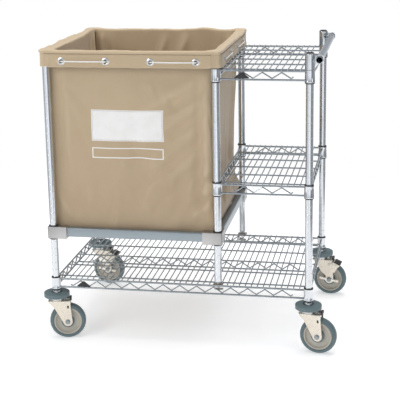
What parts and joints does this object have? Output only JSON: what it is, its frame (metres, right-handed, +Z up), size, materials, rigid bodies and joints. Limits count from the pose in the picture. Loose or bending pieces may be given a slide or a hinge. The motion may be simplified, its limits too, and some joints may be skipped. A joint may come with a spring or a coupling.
{
  "type": "linen trolley",
  "caption": "Wire-shelf linen trolley on swivel casters, with a hung open fabric bag, side shelves and a push handle.",
  "frame": {"origin": "on the floor, in the middle of the trolley's length and depth", "axes": "+X to the trolley's right, where the handle is; -Y to its front; +Z up"},
  "size_m": [1.0185, 0.661, 1.0192],
  "materials": {
    "chrome": "bright chrome plate",
    "satin_casting": "cast, satin",
    "frame_steel": "satin grey-blue",
    "zinc_plate": "warm zinc plate",
    "bumper_rubber": "matte grey-green",
    "tyre_rubber": "smooth grey-green tread",
    "wheel_plastic": "moulded, warm grey",
    "black_plastic": "moulded, black",
    "bag_cloth": "woven, tan",
    "white_cord": "braided, white"
  },
  "bodies": {
    "root": {"badge_bottom_shelf": "black_plastic", "badge_top_shelf": "black_plastic", "bag": "bag_cloth", "bottom_shelf": "chrome", "caster_bumper_front_left": "bumper_rubber", "caster_bumper_front_right": "bumper_rubber", "caster_bumper_rear_left": "bumper_rubber", "caster_bumper_rear_right": "bumper_rubber", "caster_stem_front_left": "zinc_plate", "caster_stem_front_right": "zinc_plate", "caster_stem_rear_left": "zinc_plate", "caster_stem_rear_right": "zinc_plate", "handle_bracket_front": "chrome", "handle_bracket_rear": "chrome", "handle_tube": "frame_steel", "hem_lace": "white_cord", "lower_frame_casting_front_left": "satin_casting", "lower_frame_casting_front_right": "satin_casting", "lower_frame_casting_rear_left": "satin_casting", "lower_frame_casting_rear_right": "satin_casting", "lower_frame_tube_front": "frame_steel", "lower_frame_tube_left": "frame_steel", "lower_frame_tube_rear": "frame_steel", "lower_frame_tube_right": "frame_steel", "middle_shelf": "chrome", "post_cap_front_left": "black_plastic", "post_cap_front_middle": "black_plastic", "post_cap_front_right": "black_plastic", "post_cap_rear_left": "black_plastic", "post_cap_rear_middle": "black_plastic", "post_cap_rear_right": "black_plastic", "post_foot_front_middle": "satin_casting", "post_foot_rear_middle": "satin_casting", "post_front_left": "chrome", "post_front_middle": "chrome", "post_front_right": "chrome", "post_rear_left": "chrome", "post_rear_middle": "chrome", "post_rear_right": "chrome", "top_shelf": "chrome", "upper_bag_frame": "frame_steel"},
    "caster_front_left": {"caster_axle_front_left": "chrome", "caster_fork_front_left": "zinc_plate"},
    "wheel_front_left": {"tyre_front_left": "tyre_rubber", "wheel_core_front_left": "wheel_plastic"},
    "caster_front_right": {"caster_axle_front_right": "chrome", "caster_fork_front_right": "zinc_plate"},
    "wheel_front_right": {"tyre_front_right": "tyre_rubber", "wheel_core_front_right": "wheel_plastic"},
    "caster_rear_right": {"caster_axle_rear_right": "chrome", "caster_fork_rear_right": "zinc_plate"},
    "wheel_rear_right": {"tyre_rear_right": "tyre_rubber", "wheel_core_rear_right": "wheel_plastic"},
    "brake_rear_right": {"brake_lever_rear_right": "zinc_plate"},
    "caster_rear_left": {"caster_axle_rear_left": "chrome", "caster_fork_rear_left": "zinc_plate"},
    "wheel_rear_left": {"tyre_rear_left": "tyre_rubber", "wheel_core_rear_left": "wheel_plastic"},
    "brake_rear_left": {"brake_lever_rear_left": "zinc_plate"}
  },
  "joints": [
    {"name": "swivel_front_left", "type": "hinge", "parent": "root", "child": "caster_front_left", "pos_m": [-0.4648, -0.286, 0.14], "axis": [0, 0, 1], "continuous": true},
    {"name": "wheel_spin_front_left", "type": "hinge", "parent": "caster_front_left", "child": "wheel_front_left", "pos_m": [-0.43084, -0.27753, 0.06296], "axis": [-0.2419, 0.9703, 0], "continuous": true},
    {"name": "swivel_front_right", "type": "hinge", "parent": "root", "child": "caster_front_right", "pos_m": [0.4112, -0.286, 0.14], "axis": [0, 0, 1], "continuous": true},
    {"name": "wheel_spin_front_right", "type": "hinge", "parent": "caster_front_right", "child": "wheel_front_right", "pos_m": [0.44572, -0.29178, 0.06296], "axis": [0.165, 0.9863, 0], "continuous": true},
    {"name": "swivel_rear_right", "type": "hinge", "parent": "root", "child": "caster_rear_right", "pos_m": [0.4112, 0.286, 0.14], "axis": [0, 0, 1], "continuous": true},
    {"name": "wheel_spin_rear_right", "type": "hinge", "parent": "caster_rear_right", "child": "wheel_rear_right", "pos_m": [0.44594, 0.28173, 0.06296], "axis": [0.1219, 0.9925, 0], "continuous": true},
    {"name": "brake_rear_right", "type": "hinge", "parent": "caster_rear_right", "child": "brake_rear_right", "pos_m": [0.44693, 0.28161, 0.1205], "axis": [0.1219, 0.9925, 0], "range_deg": [0, 5]},
    {"name": "swivel_rear_left", "type": "hinge", "parent": "root", "child": "caster_rear_left", "pos_m": [-0.4648, 0.286, 0.14], "axis": [0, 0, 1], "continuous": true},
    {"name": "wheel_spin_rear_left", "type": "hinge", "parent": "caster_rear_left", "child": "wheel_rear_left", "pos_m": [-0.42993, 0.28295, 0.06296], "axis": [0.0872, 0.9962, 0], "continuous": true},
    {"name": "brake_rear_left", "type": "hinge", "parent": "caster_rear_left", "child": "brake_rear_left", "pos_m": [-0.42894, 0.28286, 0.1205], "axis": [0.0872, 0.9962, 0], "range_deg": [0, 5]}
  ]
}
